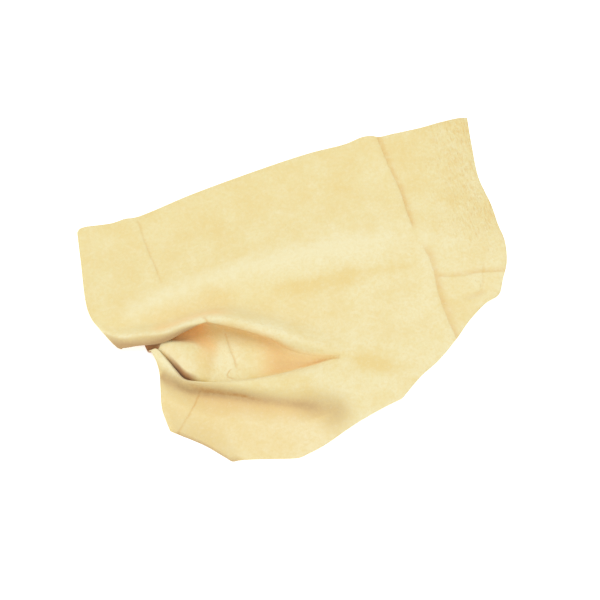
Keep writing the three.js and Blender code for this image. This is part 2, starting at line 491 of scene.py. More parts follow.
    def rows(self, share: Numbers) -> dict[str, Points]:
        """All rows of the skin's middle surface, from the far edge over the tuck to the near edge.

        Args:
            share: Shares across the skin, 0 at the left cut edge and 1 at the right one.

        Returns:
            The points of each row in millimetres, by the row's name, in order.
        """
        nosed = mix(self.nose_start, 1.0, share)
        undered = mix(self.under_start, 1.0, share)
        foot = self.line("foot", share, self.ridge_height)
        ridge = self.ridge(share)
        pocket_low = self.pocket_turn("pocket_low", share)
        tongue = self.line("tongue", share, self.tongue_height)
        gap = self.line("gap", share, self.lip_height)
        lip = self.line("lip", share, self.lip_height)
        valley = self.line("valley", share, self.lip_height)
        near = self.edge(self.near_edge, share)
        level = np.zeros_like(share)
        floor_slack = np.outer(ease(self.floor_slack_end, 0.0, share), self.floor_slack)
        return {
            "far": self.edge(self.far_edge, share),
            "upper": self.edge(self.upper_line, share),
            "band": self.line("band", share, self.band_height),
            "foot": foot,
            "shoulder": self.between("shoulder", foot, ridge),
            "ridge": ridge,
            "nose": self.below_ridge("nose", nosed, self.roll(nosed), self.roll_drop(nosed)),
            "under": self.below_ridge("under", undered, level, self.under_drop * self.roll_drop(undered)),
            "pocket_top": self.pocket_turn("pocket_top", share),
            "pocket_back": self.pocket_turn("pocket_back", share),
            "pocket_low": pocket_low,
            "tongue_back": self.between("tongue_back", pocket_low, tongue),
            "tongue": tongue,
            "brink": self.line("brink", share, self.tongue_height) + floor_slack,
            "gap": gap,
            "lip_back": self.between("lip_back", lip, gap),
            "lip": lip,
            "lip_front": self.between("lip_front", lip, valley),
            "lip_low": self.between("lip_low", lip, valley),
            "valley": valley,
            "flap": self.between("flap", valley, near) + self.lift(self.flap_height, self.flap_fade, share),
            "hem": self.between("hem", valley, near) + self.lift(self.hem_height, self.hem_fade, share),
            "near": near,
        }


@dataclass(frozen=True)
class Crease:
    """A crease pressed into the skin: a plan line with a sharp right side, a soft left one and a hump.

    Sizes are in millimetres, and the fades are shares of the line. Its tint is how much painted shade,
    or for a pale streak painted highlight, it puts on the nap.
    """

    stretch: Stretch
    plan: Plan
    depth: float = 0.0
    width: float = 2.2
    soft: float = 2.2
    hump: float = 0.0
    hump_offset: float = -7.0
    hump_width: float = 7.0
    start_fade: float = 0.1
    end_fade: float = 0.2
    tint: float = 1.0
    mark: Mark = Mark.LINE
    least_width: float = 3.0
    samples: int = 161

    def measure(self, points: Points) -> tuple[Numbers, Numbers]:
        """Signed distance of each point from the line in plan, and the line's strength there.

        The distance is square to the line at the nearest of many points on it, and it is above 0
        to the right of the line as one goes from its start to its end, and beyond its ends. The
        strength fades at the ends.

        Args:
            points: Points in millimetres.

        Returns:
            Distances and strengths.
        """
        share = np.linspace(0.0, 1.0, self.samples)
        line = curve_at(np.array(self.plan, dtype=float), share)
        away = points[:, None, :2] - line[None]
        nearest = np.argmin(np.einsum("ijk,ijk->ij", away, away), axis=1)
        tangent = np.gradient(line, axis=0)
        tangent /= np.linalg.norm(tangent, axis=1, keepdims=True)
        tangent = tangent[nearest]
        offset = away[np.arange(len(points)), nearest]
        distance = tangent[:, 1] * offset[:, 0] - tangent[:, 0] * offset[:, 1]
        place = share[nearest]
        beyond = (nearest == 0) | (nearest == len(line) - 1)
        distance = np.where(beyond, np.linalg.norm(offset, axis=1), distance)
        strength = ease(0.0, self.start_fade, place) * ease(0.0, self.end_fade, 1.0 - place)
        return distance, strength

    def height(self, distance: Numbers) -> Numbers:
        """Height over the skin: a wide bell beside the line less a narrow bell on it."""
        valley = self.depth * bell(distance, max(self.width, self.least_width))
        return self.hump * bell(distance - self.hump_offset, self.hump_width) - valley


@dataclass(frozen=True)
class Tone:
    """A tint on the nap, mostly painted shade or painted highlight: its values at rows of the tuck,
    within a window of shares across the skin.

    Rise and fall each give the share where the window is 0 and the share where it is 1.
    """

    tint: Tint
    stops: dict[str, float]
    rise: tuple[float, float] = (-1.0, 0.0)
    fall: tuple[float, float] = (2.0, 1.0)

    def values(self, places: dict[str, int], share: Numbers) -> Numbers:
        """The tint by row and column of the grid: straight between its stops and 0 outside them.

        Args:
            places: The grid's row of each of the tuck's rows.
            share: The grid's shares across the skin.

        Returns:
            The values.
        """
        rows = np.arange(places["near"] + 1)
        stops = [places[name] for name in self.stops]
        across = np.interp(rows, stops, list(self.stops.values()), left=0.0, right=0.0)
        return np.outer(across, ease(*self.rise, share) * ease(*self.fall, share))


# The skin

@dataclass
class ChamoisSkin:
    """The skin as one closed sheet: its folded and creased middle surface, thickened along its normals.

    Creases are pressed in along a line of their own, and tones, mostly painted shade and highlight,
    lie on the nap between the tuck's rows.
    """

    tuck: Tuck = field(default_factory=Tuck)
    columns: int = 296
    steps_after: dict[str, int] = field(default_factory=lambda: {
        "far": 26, "upper": 26, "band": 12, "foot": 5, "shoulder": 6, "ridge": 5, "nose": 5, "under": 6,
        "pocket_top": 3, "pocket_back": 3, "pocket_low": 6, "tongue_back": 5, "tongue": 6, "brink": 5,
        "gap": 4, "lip_back": 4, "lip": 4, "lip_front": 4, "lip_low": 4, "valley": 8, "flap": 11,
        "hem": 3, "near": 0,
    })
    smoothing: int = 3
    pressing: int = 18
    hollow_passes: int = 60
    hollow_depth: float = 2.5
    right_edge: Plan = (
        (178, 224), (181, 189), (186, 148), (197, 114), (203, 88), (208.5, 69), (209, 43), (204, 24),
        (199, 6), (185, -4.5), (168, -24), (154, -45), (136, -68), (117, -87), (99, -110),
    )
    right_pull: float = 0.8
    left_edge: Plan = (
        (-145.5, -63), (-140, -72.5), (-137, -82.5), (-135, -100.5), (-134, -113), (-132.5, -122.5),
        (-129.5, -131.5), (-124, -145),
    )
    left_pull: float = 0.12
    fibre_line: Plan = ((172, 215), (180, 165), (193, 100))
    fibre_width: float = 50.0
    paler_across: tuple[float, float] = (-80.0, 60.0)
    paler_along: tuple[float, float] = (130.0, 20.0)
    left_lift: float = 1.2
    left_curl: float = 3.5
    left_reach: float = 45.0
    left_rows: int = 20
    line_reach: float = 2.5
    line_margin: float = 4.0
    edge_top: float = 0.1
    edge_under: float = 0.4
    rim_out: float = 0.3
    rim_drop: float = 0.2
    # Pale painted highlight along the crest of the band's fold
    band_crease: Crease = Crease(
        Stretch.PANEL, ((-190, -28), (-146, -7), (-96, 18), (-22, 43), (48, 60), (100, 70), (206, 76)),
        width=15.0, hump=1.0, hump_offset=0.0, hump_width=13.0, end_fade=0.4, mark=Mark.PALE,
    )
    # Warm painted shadow below the band
    band_foot: Crease = Crease(
        Stretch.PANEL, ((-45, 8), (-6, 12), (43, 23), (92, 33), (125, 33)),
        width=7.5, start_fade=0.3, tint=0.45, mark=Mark.WARM,
    )
    # Dull painted shade in the valley under the lip
    valley_streak: Crease = Crease(
        Stretch.FLAP,
        ((-136, -86), (-124, -93.5), (-109, -100), (-70, -106.5), (-37, -112), (0, -117), (26, -122)),
        width=5.5, start_fade=0.02, end_fade=0.18, tint=0.92, mark=Mark.DULL,
    )
    # Dull painted shade in the hollow at the valley's right end
    hollow_streak: Crease = Crease(
        Stretch.FLAP, ((-20, -116), (10, -119), (34, -124), (28, -136), (16, -150)),
        width=14.0, start_fade=0.35, end_fade=0.5, tint=0.95, mark=Mark.DULL,
    )
    # Warm painted shade on the slope beyond the tuck's tip
    tip_streak: Crease = Crease(
        Stretch.WHOLE, ((44, -69), (64, -73), (84, -77), (106, -83)),
        width=9.0, start_fade=0.3, end_fade=0.4, tint=0.7, mark=Mark.WARM,
    )
    # Warm painted shade between the lower and the cross crease
    corner_streak: Crease = Crease(
        Stretch.WHOLE, ((142, 22), (160, 6), (152, -34)),
        width=15.0, start_fade=0.3, end_fade=0.3, tint=0.4, mark=Mark.WARM,
    )
    # Dull painted shadow on the tongue just above the lip's edge
    lip_streak: Crease = Crease(
        Stretch.POCKET, ((-131, -66), (-120, -79), (-113, -88), (-107, -91), (-95, -92.5)),
        width=1.8, start_fade=0.5, end_fade=0.5, tint=1.2, mark=Mark.DULL,
    )
    # The creases below are pressed in, and their lines also darken the nap as painted shade
    left_crease: Crease = Crease(
        Stretch.PANEL, ((-167, 94.5), (-157, 64.5), (-146, 36), (-135, 5)),
        depth=0.3, width=0.9, soft=1.6, hump=0.9, hump_offset=3.5, hump_width=5.0,
        start_fade=0.01, end_fade=0.3, tint=0.65,
    )
    right_crease: Crease = Crease(
        Stretch.PANEL, ((80.5, 202), (94, 159), (103.5, 132), (110, 103.5), (117, 76)),
        depth=0.4, width=0.7, soft=4.0, hump=1.3, hump_offset=6.0,
        start_fade=0.01, end_fade=0.12, tint=0.95,
    )
    lower_crease: Crease = Crease(
        Stretch.WHOLE, ((122, 66), (132.5, 43), (137.5, 13.5), (144.5, -15), (157, -52)),
        depth=0.4, width=0.8, soft=5.0, hump=1.3, hump_offset=6.0,
        start_fade=0.15, end_fade=0.02, tint=0.85,
    )
    cross_crease: Crease = Crease(
        Stretch.PANEL, ((137, 25), (161, 26.5), (184.5, 31), (210, 32.5)),
        depth=0.4, width=0.8, soft=4.0, hump=1.0, hump_offset=5.0, hump_width=6.0,
        end_fade=0.02, tint=0.7,
    )
    edge_crease: Crease = Crease(
        Stretch.PANEL, ((186, 50), (185, 34.5), (183, 11)),
        depth=0.3, width=1.2, soft=1.4, hump=0.5, hump_offset=4.0, hump_width=5.0,
        start_fade=0.5, tint=0.35,
    )
    dent: Crease = Crease(
        Stretch.PANEL, ((158, 1), (179, 7), (186, 12.5)),
        depth=1.2, width=4.0, hump=1.2, hump_offset=6.0, hump_width=9.0, start_fade=0.3, tint=0.4,
    )
    ridge_notch: Crease = Crease(
        Stretch.ROLL, ((-96, -33), (-92, -36), (-88, -44)),
        depth=0.3, width=1.1, start_fade=0.3, end_fade=0.3, tint=1.3,
    )
    pocket_crease: Crease = Crease(
        Stretch.POCKET, ((-75, -37), (-70, -51), (-61, -80.5)),
        depth=0.45, width=0.7, soft=1.6, hump=0.8, hump_offset=3.0, hump_width=3.0,
        end_fade=0.1, tint=0.8,
    )
    pucker: Crease = Crease(
        Stretch.POCKET, ((-68, -78.5), (-70.5, -83), (-70, -87), (-67, -89), (-60, -89.5)),
        depth=0.45, width=0.8, soft=1.0, hump=0.9, hump_offset=-3.0, hump_width=2.5,
    )
    tip_crease: Crease = Crease(
        Stretch.TIP, ((-4, -79), (14.5, -72), (23.5, -70), (39.5, -68.5)),
        depth=0.5, width=1.2, start_fade=0.4, end_fade=0.04,
    )
    valley_crease: Crease = Crease(
        Stretch.FLAP, ((-112, -98.5), (-92, -104), (-75, -106), (-49.5, -110), (-30, -115)),
        depth=0.4, width=1.0, soft=1.6, start_fade=0.3, end_fade=0.3, tint=1.3,
    )
    flap_crease: Crease = Crease(
        Stretch.FLAP, ((-97, -103), (-102, -118), (-107, -130.5), (-117.5, -150)),
        depth=0.35, width=0.8, soft=1.1, hump=0.5, hump_offset=0.0,
        start_fade=0.05, end_fade=0.05, tint=0.85,
    )
    # Tones of painted shade and painted highlight; only the tan and the paleness on the flap are the nap's
    # own colour
    tones: tuple[Tone, ...] = (
        # Tan painted shade under the ridge, in the pocket, on the tongue and along the slit in front of it
        Tone(
            Tint.TAN, {"nose": 0.0, "under": 0.75, "pocket_low": 0.9, "tongue_back": 0.2, "tongue": 0.0},
            fall=(0.4, 0.3),
        ),
        Tone(Tint.TAN, {"pocket_low": 0.0, "tongue_back": 0.6, "tongue": 0.0}, fall=(0.45, 0.38)),
        Tone(
            Tint.TAN, {"tongue_back": 0.0, "tongue": 0.35, "brink": 0.0},
            rise=(0.28, 0.35), fall=(0.45, 0.38),
        ),
        Tone(
            Tint.TAN, {"ridge": 0.0, "nose": 0.5, "under": 0.65, "pocket_low": 0.3, "tongue_back": 0.0},
            rise=(0.34, 0.44), fall=(0.64, 0.55),
        ),
        Tone(
            Tint.TAN, {"nose": 0.0, "under": 0.35, "pocket_low": 0.6, "brink": 0.8, "gap": 0.2},
            rise=(0.54, 0.62), fall=(0.78, 0.71),
        ),
        Tone(Tint.TAN, {"tongue": 0.0, "brink": 0.25, "gap": 0.6}, rise=(0.06, 0.12), fall=(0.36, 0.27)),
        # Tan painted shade in the trough behind the ridge
        Tone(
            Tint.TAN, {"band": 0.0, "foot": 0.12, "shoulder": 0.5, "ridge": 0.0},
            rise=(0.15, 0.21), fall=(0.52, 0.4),
        ),
        # Tan painted shade in the valley under the lip
        Tone(Tint.TAN, {"lip_low": 0.0, "valley": 0.45, "flap": 0.0}, rise=(0.2, 0.4), fall=(0.85, 0.6)),
        # The flap's own warmer nap
        Tone(Tint.TAN, {"valley": 0.0, "flap": 0.17, "near": 0.1}, fall=(0.9, 0.68)),
        # Dull painted shade under the lip, in front of the ridge, along the near hem and at the pocket's
        # right end
        Tone(Tint.SHADE, {"lip_front": 0.0, "lip_low": 0.4, "valley": 0.6, "flap": 0.0}, fall=(0.75, 0.5)),
        Tone(Tint.SHADE, {"ridge": 0.2, "nose": 2.6, "under": 1.2}, fall=(0.31, 0.24)),
        Tone(Tint.SHADE, {"flap": 0.0, "hem": 0.4, "near": 1.5}, rise=(0.0, 0.06), fall=(0.45, 0.3)),
        Tone(
            Tint.SHADE, {"under": 0.2, "pocket_low": 0.5, "tongue": 0.7, "brink": 0.6, "gap": 0.2},
            rise=(0.55, 0.63), fall=(0.8, 0.73),
        ),
        # Dark painted shadow in the slit between tongue and lip, and at the fold's left end
        Tone(
            Tint.INSIDE, {"brink": 0.8, "gap": 1.0, "lip_back": 0.6, "lip": 0.0},
            rise=(0.1, 0.25), fall=(0.36, 0.29),
        ),
        Tone(
            Tint.INSIDE, {"tongue_back": 1.0, "tongue": 0.5, "brink": 1.0, "lip_back": 1.0, "lip": 0.0},
            fall=(0.045, 0.02),
        ),
        # Painted highlights on the ridge's crest, the pocket floor, the tongue's brink and the lip
        Tone(Tint.WORN, {"shoulder": 0.0, "ridge": 0.6, "nose": 0.0}, fall=(0.72, 0.55)),
        Tone(
            Tint.WORN, {"pocket_low": 0.0, "tongue_back": 0.6, "tongue": 0.9, "brink": 0.6, "gap": 0.0},
            rise=(0.36, 0.46), fall=(0.58, 0.48),
        ),
        Tone(Tint.WORN, {"tongue": 0.0, "brink": 0.6, "gap": 0.0}, fall=(0.4, 0.3)),
        Tone(Tint.WORN, {"gap": 0.0, "lip": 0.7, "lip_front": 0.6, "lip_low": 0.0}, fall=(0.5, 0.3)),
        # A paler nap on the flap
        Tone(Tint.WORN, {"valley": 0.0, "flap": 0.2, "near": 0.25}, rise=(0.0, 0.4)),
    )

    def creases(self) -> dict[str, Crease]:
        """All creases of the skin by name."""
        return {name: value for name, value in vars(self).items() if isinstance(value, Crease)}

    @property
    def steps(self) -> np.ndarray:
        """The grid's steps after each of the tuck's rows."""
        return np.array(list(self.steps_after.values()))

    @property
    def places(self) -> dict[str, int]:
        """The grid's row of each of the tuck's rows."""
        return dict(zip(self.steps_after, (np.cumsum(self.steps) - self.steps).tolist()))

    @property
    def shares(self) -> Numbers:
        """Shares across the skin of the grid's columns."""
        return np.linspace(0.0, 1.0, self.columns + 1)

    @staticmethod
    def evened(grid: Points, passes: int) -> Points:
        """The grid with its inner points moved half way to the mean of their four neighbours.

        Args:
            grid: An array of row, column and coordinate.
            passes: How many times over they are moved.

        Returns:
            The evened grid.
        """
        even = grid.copy()
        for _ in range(passes):
            mean = 0.25 * (even[:-2, 1:-1] + even[2:, 1:-1] + even[1:-1, :-2] + even[1:-1, 2:])
            even[1:-1, 1:-1] += 0.5 * (mean - even[1:-1, 1:-1])
        return even

    def middle_surface(self) -> Points:
        """The folded middle surface on a grid of rows and columns, in millimetres.

        Each column is a smooth section through the tuck's rows, with a set number of steps between
        rows. The end columns are drawn out to the cut edges, and the grid is evened out.

        Returns:
            An array of row, column and coordinate.
        """
        share = self.shares
        rows = np.stack(list(self.tuck.rows(share).values()))
        steps = self.steps
        span = np.repeat(np.arange(len(steps)), steps)
        inner = (np.arange(len(span)) - np.repeat(np.cumsum(steps) - steps, steps)) / steps[span]
        grid = span_curve(rows, span, inner[:, None, None])
        grid = np.concatenate([grid, rows[-1:]])
        flap = grid[self.places["lip"]:]
        right = ease(self.right_pull, 1.0, share)[None, :, None]
        left = ease(self.left_pull, 0.0, share)[None, :, None]
        grid += self.drawn(grid[:, -1], self.right_edge)[:, None] * right
        flap += self.drawn(flap[:, 0], self.left_edge)[:, None] * left
        return self.evened(grid, self.smoothing)

    @staticmethod
    def drawn(end: Points, plan: Plan) -> Points:
        """The level moves that bring a cut edge's points onto a plan line, by shares of their lengths."""
        run = np.concatenate([[0.0], np.cumsum(np.linalg.norm(np.diff(end[:, :2], axis=0), axis=1))])
        return (Rail(plan).by_length(0.0, run / run[-1]) - end) * (1.0, 1.0, 0.0)

    @staticmethod
    def normals(grid: Points) -> Points:
        """Unit normals on the upper side: the cross product of a grid's differences, over its length.

        Args:
            grid: An array of row, column and coordinate.

        Returns:
            The normals by row and column.
        """
        along = np.gradient(grid, axis=1)
        across = -np.gradient(grid, axis=0)
        normal = np.cross(along, across)
        return normal / np.maximum(np.linalg.norm(normal, axis=-1, keepdims=True), LEAST_LENGTH)

    def left_curls(self, grid: Points) -> Numbers:
        """How far the panel curls up beside its left cut edge.

        The curl rises as 1 less the exponential of minus the way in from the edge over its own length,
        and dies away as the exponential of minus that way over its reach.

        Args:
            grid: The middle surface.

        Returns:
            The heights by row and column.
        """
        inset = np.linalg.norm(grid[..., :2] - grid[:, :1, :2], axis=-1)
        lift = self.left_lift * (1.0 - np.exp(-inset / self.left_curl)) * np.exp(-inset / self.left_reach)
        row = np.arange(len(grid))
        foot, band = self.places["foot"], self.places["band"]
        return lift * (ease(0, self.left_rows, row) * ease(foot, band, row))[:, None]

    def creased(self, grid: Points) -> tuple[Points, dict[str, Numbers]]:
        """The surface with its creases pressed in along its normals, and its left cut edge curled up.

        Args:
            grid: The smooth middle surface.

        Returns:
            The creased surface, and by name the distance of each point from each crease's line and how
            strong the crease is near it, with how strong the wide streaks of painted shade and highlight
            are.
        """
        normal = self.normals(grid)
        move = np.zeros(grid.shape[:2])
        lines = {}
        streaks = {mark.value: np.zeros(grid.shape[:2]) for mark in STREAKS}
        for name, crease in self.creases().items():
            first, last = (self.places[row] for row in crease.stretch.value)
            measured = crease.measure(grid.reshape(-1, 3))
            distance, strength = (value.reshape(move.shape) for value in measured)
            strength[:first] = 0.0
            strength[last + 1:] = 0.0
            move += strength * crease.height(distance)
            # Wide streaks are painted shade, and the pale one painted highlight
            if crease.mark in STREAKS:
                streaks[crease.mark.value] += crease.tint * strength * bell(distance, crease.width)
                continue
            # A fine line darkens the nap near it as painted shade
            reach = self.line_reach * max(crease.width, crease.soft)
            lines[name] = distance
            lines[f"{name}_near"] = strength * ease(reach + self.line_margin, reach, np.abs(distance))
        creased = grid + normal * move[..., None]
        creased[..., 2] += self.left_curls(grid)
        creased[..., 2] = np.maximum(creased[..., 2], self.tuck.rest)
        return creased, lines | streaks

    def sheet(self, grid: Points) -> tuple[Points, np.ndarray, np.ndarray]:
        """A closed sheet around the middle surface, with a rounded cut edge.

        The upper and the under side lie half a thickness off along the normals. These are evened and
        not made unit again, so the leather is pressed thinner where it turns tightly. At the cut edge
        the two sides lie close to each other, and a rim row stands out between them.

        Args:
            grid: The middle surface.

        Returns:
            Vertices in millimetres, four-sided faces that point outwards, and each vertex's grid point.
        """
        rows, columns = grid.shape[:2]
        edge = np.zeros((rows, columns), dtype=bool)
        edge[[0, -1], :] = True
        edge[:, [0, -1]] = True
        normal = self.evened(self.normals(grid), self.pressing) * self.tuck.thickness
        upper = grid + normal * np.where(edge, self.edge_top, 0.5)[..., None]
        under = grid - normal * np.where(edge, self.edge_under, 0.5)[..., None]
        number = np.arange(rows * columns).reshape(rows, columns)
        ring = np.concatenate([number[0, :-1], number[:-1, -1], number[-1, :0:-1], number[:0:-1, 0]])
        flat = grid.reshape(-1, 3)
        inward = np.concatenate([grid[1, :-1], grid[:-1, -2], grid[-2, :0:-1], grid[:0:-1, 1]])
        out = flat[ring] - inward
        out /= np.maximum(np.linalg.norm(out, axis=1, keepdims=True), LEAST_LENGTH)
        rim = flat[ring] + (self.rim_out * out - (0.0, 0.0, self.rim_drop)) * self.tuck.thickness
        total = rows * columns
        rim_number = 2 * total + np.arange(len(ring))
        cells = [number[:-1, :-1], number[1:, :-1], number[1:, 1:], number[:-1, 1:]]
        top = np.stack([cell.ravel() for cell in cells], axis=1)
        bottom = top[:, ::-1] + total
        after = np.roll(ring, -1)
        rim_after = np.roll(rim_number, -1)
        upper_rim = np.stack([ring, after, rim_after, rim_number], axis=1)
        under_rim = np.stack([rim_number, rim_after, after + total, ring + total], axis=1)
        vertices = np.concatenate([upper.reshape(-1, 3), under.reshape(-1, 3), rim])
        source = np.concatenate([number.ravel(), number.ravel(), ring])
        return vertices, np.concatenate([top, bottom, upper_rim, under_rim]), source

    def hollows(self, grid: Points) -> Numbers:
        """How far each point lies under (above 0) or over the evened surface, in hollow depths."""
        away = self.evened(grid, self.hollow_passes) - grid
        return np.clip(np.sum(away * self.normals(grid), axis=-1) / self.hollow_depth, -1.0, 1.0)

    def toned(self, tint: Tint) -> Numbers:
        """The sum of the tones of a tint, by row and column."""
        return sum(tone.values(self.places, self.shares) for tone in self.tones if tone.tint is tint)

    def build(self) -> bpy.types.Object:
        """Makes the skin's object in the frame, in metres, with its attributes for the finish.

        Returns:
            The object.
        """
        grid, lines = self.creased(self.middle_surface())
        vertices, faces, source = self.sheet(grid)
        vertices[:, :2] += np.array(LAYOUT_ORIGIN)
        vertices[:, 2] = np.maximum(vertices[:, 2], 0.0)
        mesh = bpy.data.meshes.new(SKIN_NODE)
        mesh.from_pydata((vertices * MM).tolist(), [], faces.tolist())
        mesh.shade_smooth()
        fibres = Crease(Stretch.WHOLE, self.fibre_line)
        painted = lines | {tint.value: self.toned(tint) for tint in Tint} | {
            Ground.HOLLOW.value: self.hollows(grid),
            Ground.FIBRE.value: bell(fibres.measure(grid.reshape(-1, 3))[0], self.fibre_width),
            Ground.WEAR.value: ease(*self.paler_across, grid[..., 0]) * ease(*self.paler_along, grid[..., 1]),
        }
        for name, values in painted.items():
            attribute = mesh.attributes.new(name, "FLOAT", "POINT")
            attribute.data.foreach_set("value", values.ravel()[source].astype(np.float32))
        skin = bpy.data.objects.new(PIECE, mesh)
        bpy.context.scene.collection.objects.link(skin)
        LOG.info("skin: %d vertices, %d faces", len(vertices), len(faces))
        return skin


# Finishes

@dataclass(frozen=True)
class Flow:
    """A number on its way through a shader: a socket whose operators add Math nodes."""

    tree: bpy.types.NodeTree
    socket: bpy.types.NodeSocket

    def math(self, operation: str, first: Any, second: Any, clamp: bool = False) -> "Flow":
        """A Math node on two numbers or flows.

        Args:
            operation: The node's operation.
            first: Its first number or flow.
            second: Its second number or flow.
            clamp: Whether the result is kept between 0 and 1.

        Returns:
            The result.
        """
        node = self.tree.nodes.new("ShaderNodeMath")
        node.operation = operation
        node.use_clamp = clamp
        for socket, value in zip(node.inputs, (first, second)):
            if isinstance(value, Flow):
                self.tree.links.new(value.socket, socket)
            else:
                socket.default_value = value
        return Flow(self.tree, node.outputs[0])

    def __add__(self, other: Any) -> "Flow":
        """This plus another."""
        return self.math("ADD", self, other)

    def __radd__(self, other: Any) -> "Flow":
        """Another plus this."""
        return self.math("ADD", other, self)

    def __sub__(self, other: Any) -> "Flow":
        """This less another."""
        return self.math("SUBTRACT", self, other)

    def __rsub__(self, other: Any) -> "Flow":
        """Another less this."""
        return self.math("SUBTRACT", other, self)

    def __mul__(self, other: Any) -> "Flow":
        """This times another."""
        return self.math("MULTIPLY", self, other)

    def __rmul__(self, other: Any) -> "Flow":
        """Another times this."""
        return self.math("MULTIPLY", other, self)

    def above(self, least: float) -> "Flow":
        """This, but no less than a number."""
        return self.math("MAXIMUM", self, least)

    def below(self, most: float) -> "Flow":
        """This, but no more than a number."""
        return self.math("MINIMUM", self, most)

    def clipped(self) -> "Flow":
        """This kept between 0 and 1."""
        return self.math("ADD", self, 0.0, clamp=True)

    def bell(self) -> "Flow":
        """A bell of height 1: one over e to the power of this number's square."""
        return self.math("POWER", np.exp(-1.0), self * self)


@dataclass(frozen=True)
class Grain:
    """Lumps of the nap: their size in metres, their layers of finer lumps and how much those weigh."""

    size: float
    layers: float
    weight: float


@dataclass(frozen=True)
class Weights:
    """A number that is mixed from flows: a base, and how much of each named flow is added to it."""

    base: float
    parts: dict[str, float]

    def total(self, flows: dict[str, Flow]) -> Flow:
        """The base plus the sum of the named flows, each times its weight."""
        return sum((flows[name] * weight for name, weight in self.parts.items()), self.base)


@dataclass(frozen=True)
class Layer:
    """A colour that goes over those below it, by a share that is kept between 0 and 1."""

    hue: Hue
    share: Weights
    way: Way = Way.COVER


@dataclass(frozen=True)
class Paintbox:
    """Adds nodes to one material."""

    tree: bpy.types.NodeTree

    def node(self, kind: str, settings: dict[str, Any], inputs: dict[str, Any]) -> bpy.types.Node:
        """A node of a type, with its settings made first and then its sockets set or linked.

        Args:
            kind: The node's type.
            settings: Its own settings by name.
            inputs: Values, flows or sockets by the identifier of the node's socket.

        Returns:
            The node.
        """
        node = self.tree.nodes.new(kind)
        for name, value in settings.items():
            setattr(node, name, value)
        self.wire(node, inputs)
        return node

    def wire(self, node: bpy.types.Node, inputs: dict[str, Any]) -> None:
        """Sets or links a node's sockets.

        Args:
            node: The node.
            inputs: Values, flows or sockets by the identifier of the node's socket.
        """
        sockets = {socket.identifier: socket for socket in node.inputs}
        for name, value in inputs.items():
            source = value.socket if isinstance(value, Flow) else value
            if isinstance(source, bpy.types.NodeSocket):
                self.tree.links.new(source, sockets[name])
            else:
                sockets[name].default_value = source

    def attribute(self, name: str) -> Flow:
        """A number that the piece's mesh holds at each point."""
        node = self.node("ShaderNodeAttribute", {"attribute_name": name}, {})
        return Flow(self.tree, node.outputs["Fac"])

    def noise(self, place: bpy.types.NodeSocket, grain: Grain) -> Flow:
        """Noise less its middle of a half, so that its lumps lie about 0.

        Args:
            place: The coordinates that it is read at.
            grain: Its lumps.

        Returns:
            The noise.
        """
        lumps = {"Scale": 1.0 / grain.size, "Detail": grain.layers, "Roughness": grain.weight}
        node = self.node("ShaderNodeTexNoise", {}, {"Vector": place} | lumps)
        return Flow(self.tree, node.outputs[0]) - 0.5

    def over(self, below: Any, layer: Layer, flows: dict[str, Flow]) -> bpy.types.NodeSocket:
        """A layer's colour over another.

        Args:
            below: The colour below, as a socket or a value.
            layer: The layer.
            flows: The flows that its share is mixed from.

        Returns:
            The socket of the colour that results.
        """
        share = layer.share.total(flows).clipped()
        inputs = {"Factor_Float": share, "A_Color": below, "B_Color": layer.hue.value}
        node = self.node("ShaderNodeMix", {"data_type": "RGBA", "blend_type": layer.way.value}, inputs)
        return next(socket for socket in node.outputs if socket.identifier == "Result_Color")


